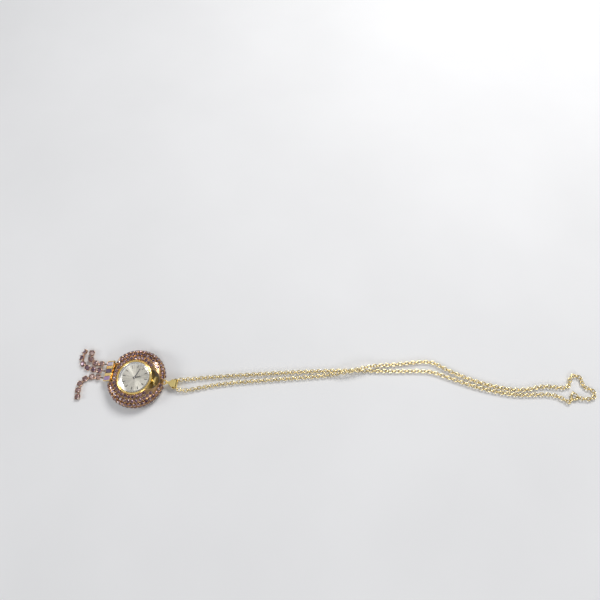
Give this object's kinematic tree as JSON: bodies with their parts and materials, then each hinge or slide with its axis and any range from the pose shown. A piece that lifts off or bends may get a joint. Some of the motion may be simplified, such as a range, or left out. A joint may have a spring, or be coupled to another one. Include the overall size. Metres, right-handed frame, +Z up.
{
  "type": "pendant watch",
  "caption": "Pendant watch with a domed stone-set frame, mechanical movement, stone tassel, folded bail and fine cable chain with a spring-ring clasp, lying face up.",
  "frame": {"origin": "middle of the flat back that the watch rests on", "axes": "+Z up out of the dial, +X from the middle out through the crown and the bail, along the chain"},
  "size_m": [0.3425, 0.0607, 0.01],
  "materials": {
    "gold": "polished yellow gold tone",
    "pale_gold": "polished pale gold tone",
    "lilac_stone": "faceted light amethyst glass",
    "dark_stone": "faceted dark amethyst glass",
    "strand_metal": "rose gold tone claws with lilac glass",
    "crystal": "clear",
    "dial": "silvered, brushed in rays",
    "flange": "bright",
    "hands": "dark grey",
    "holder": "white plastic",
    "movement_brass": "brushed",
    "steel": "polished steel",
    "blue_steel": "blued spring steel",
    "ruby": "red synthetic ruby"
  },
  "bodies": {
    "chain": {"chain_upper_strand": "pale_gold", "chain_lower_strand": "pale_gold", "chain_bail_links": "pale_gold", "clasp_ring": "pale_gold", "clasp_spring": "steel", "clasp_rings": "pale_gold"},
    "clasp_bolt": {"clasp_trigger": "pale_gold"},
    "bail": {"bail": "gold"},
    "case": {"pendant_loop": "gold", "stone_frame": "gold", "upper_stones": "lilac_stone", "rim_stones": "lilac_stone", "stone_claws": "gold", "case_band": "gold", "bezel": "gold", "crystal": "crystal", "rehaut": "flange", "dial": "dial", "case_back": "gold", "movement_ring": "holder", "mainplate": "movement_brass", "barrel_bridge": "movement_brass", "train_bridge": "movement_brass", "pallet_bridge": "movement_brass", "balance_cock": "movement_brass", "jewels": "ruby", "movement_screws": "steel", "crown_tube": "gold", "tassel_hanger": "gold", "hanger_stones": "dark_stone", "tassel_strand_left": "strand_metal", "tassel_strand_middle": "strand_metal", "tassel_strand_right": "strand_metal", "click_spring": "steel", "hairspring": "blue_steel"},
    "regulator": {"regulator": "steel"},
    "balance": {"balance_wheel": "movement_brass"},
    "pallet_fork": {"pallet_fork": "steel"},
    "escape_wheel": {"escape_wheel": "steel"},
    "fourth_wheel": {"fourth_wheel": "movement_brass"},
    "third_wheel": {"third_wheel": "movement_brass"},
    "minute": {"centre_wheel": "movement_brass", "cannon_pinion": "steel", "minute_hand": "hands"},
    "hour": {"hour_wheel": "movement_brass", "hour_hand": "hands"},
    "minute_wheel": {"minute_wheel": "movement_brass"},
    "setting_wheel": {"setting_wheel": "steel"},
    "barrel": {"barrel_drum": "movement_brass", "mainspring": "blue_steel"},
    "arbor": {"barrel_arbor": "steel", "ratchet_wheel": "steel"},
    "crown_wheel": {"crown_wheel": "steel"},
    "click": {"click": "steel"},
    "winding_pinion": {"winding_pinion": "steel"},
    "sliding_pinion": {"sliding_pinion": "steel"},
    "stem": {"winding_stem": "steel", "crown": "gold"},
    "setting_lever": {"setting_lever": "steel"},
    "yoke": {"yoke": "steel"}
  },
  "joints": [
    {"name": "clasp_bolt_slide", "type": "hinge", "parent": "chain", "child": "clasp_bolt", "pos_m": [0.2856, 0.0262, 0.00145], "axis": [0, 0, 1], "range_deg": [0, 42], "stiffness_Nm_per_rad": 0.0002, "springref_deg": -5.73, "deforming": ["clasp_spring"]},
    {"name": "bail_swing", "type": "hinge", "parent": "chain", "child": "bail", "pos_m": [0.0249, 0, 0.00225], "axis": [0, 1, 0], "range_deg": [0, 90]},
    {"name": "watch_swing", "type": "hinge", "parent": "bail", "child": "case", "pos_m": [0.02025, 0, 0.0036], "axis": [0, 1, 0], "range_deg": [0, 60]},
    {"name": "fourth_turn", "type": "hinge", "parent": "case", "child": "fourth_wheel", "pos_m": [-0.00168, -0.00373, 0], "axis": [0, 0, 1], "continuous": true},
    {"name": "third_turn", "type": "hinge", "parent": "case", "child": "third_wheel", "pos_m": [-0.00317, -0.00115, 0], "axis": [0, 0, 1], "continuous": true},
    {"name": "minute_turn", "type": "hinge", "parent": "case", "child": "minute", "pos_m": [0, 0, 0], "axis": [0, 0, 1], "continuous": true},
    {"name": "hour_turn", "type": "hinge", "parent": "case", "child": "hour", "pos_m": [0, 0, 0], "axis": [0, 0, 1], "continuous": true},
    {"name": "minute_wheel_turn", "type": "hinge", "parent": "case", "child": "minute_wheel", "pos_m": [0.00139, -0.00165, 0], "axis": [0, 0, 1], "continuous": true},
    {"name": "setting_wheel_turn", "type": "hinge", "parent": "case", "child": "setting_wheel", "pos_m": [0.003, 0.0004, 0], "axis": [0, 0, 1], "continuous": true},
    {"name": "barrel_turn", "type": "hinge", "parent": "case", "child": "barrel", "pos_m": [0.00114, 0.00424, 0], "axis": [0, 0, 1], "continuous": true},
    {"name": "escape_turn", "type": "hinge", "parent": "case", "child": "escape_wheel", "pos_m": [0.00001, -0.00575, 0], "axis": [0, 0, 1], "continuous": true},
    {"name": "pallet_rock", "type": "hinge", "parent": "case", "child": "pallet_fork", "pos_m": [0.00183, -0.00505, 0], "axis": [0, 0, 1], "range_deg": [-5, 5]},
    {"name": "balance_swing", "type": "hinge", "parent": "case", "child": "balance", "pos_m": [0.004, -0.0042, 0], "axis": [0, 0, 1], "range_deg": [-270, 270]},
    {"name": "regulator_turn", "type": "hinge", "parent": "case", "child": "regulator", "pos_m": [0.004, -0.0042, 0], "axis": [0, 0, 1], "range_deg": [-15, 15]},
    {"name": "crown_turn", "type": "hinge", "parent": "case", "child": "winding_pinion", "pos_m": [0.006, 0, 0.00355], "axis": [1, 0, 0], "continuous": true},
    {"name": "crown_pull", "type": "slide", "parent": "winding_pinion", "child": "stem", "axis": [1, 0, 0], "range_m": [0, 0.0008]},
    {"name": "clutch_slide", "type": "slide", "parent": "winding_pinion", "child": "sliding_pinion", "axis": [1, 0, 0], "range_m": [-0.0005, 0]},
    {"name": "setting_lever_turn", "type": "hinge", "parent": "case", "child": "setting_lever", "pos_m": [0.008, 0.0024, 0], "axis": [0, 0, 1], "range_deg": [0, 23]},
    {"name": "yoke_turn", "type": "hinge", "parent": "case", "child": "yoke", "pos_m": [0.0047, 0.0036, 0], "axis": [0, 0, 1], "range_deg": [-12, 0]},
    {"name": "crown_wheel_turn", "type": "hinge", "parent": "case", "child": "crown_wheel", "pos_m": [0.0048, 0.0013, 0], "axis": [0, 0, 1], "continuous": true},
    {"name": "arbor_turn", "type": "hinge", "parent": "case", "child": "arbor", "pos_m": [0.00114, 0.00424, 0], "axis": [0, 0, 1], "continuous": true},
    {"name": "click_turn", "type": "hinge", "parent": "case", "child": "click", "pos_m": [-0.00348, 0.00383, 0], "axis": [0, 0, 1], "range_deg": [0, 8], "stiffness_Nm_per_rad": 0.00002, "springref_deg": -5.73}
  ],
  "couplings": [
    {"joint": "third_turn", "follows": "fourth_turn", "ratio": -0.13333},
    {"joint": "minute_turn", "follows": "fourth_turn", "ratio": 0.016667},
    {"joint": "barrel_turn", "follows": "fourth_turn", "ratio": -0.0020833},
    {"joint": "escape_turn", "follows": "fourth_turn", "ratio": -10},
    {"joint": "minute_wheel_turn", "follows": "fourth_turn", "ratio": -0.0055556},
    {"joint": "hour_turn", "follows": "fourth_turn", "ratio": 0.0013889},
    {"joint": "setting_wheel_turn", "follows": "fourth_turn", "ratio": 0.0090909},
    {"joint": "crown_wheel_turn", "follows": "crown_turn", "ratio": 0.66667},
    {"joint": "arbor_turn", "follows": "crown_turn", "ratio": -0.375},
    {"joint": "clutch_slide", "follows": "crown_pull", "ratio": -0.625},
    {"joint": "setting_lever_turn", "follows": "crown_pull", "rad_per_m": 498.34},
    {"joint": "yoke_turn", "follows": "crown_pull", "rad_per_m": -259.7}
  ]
}
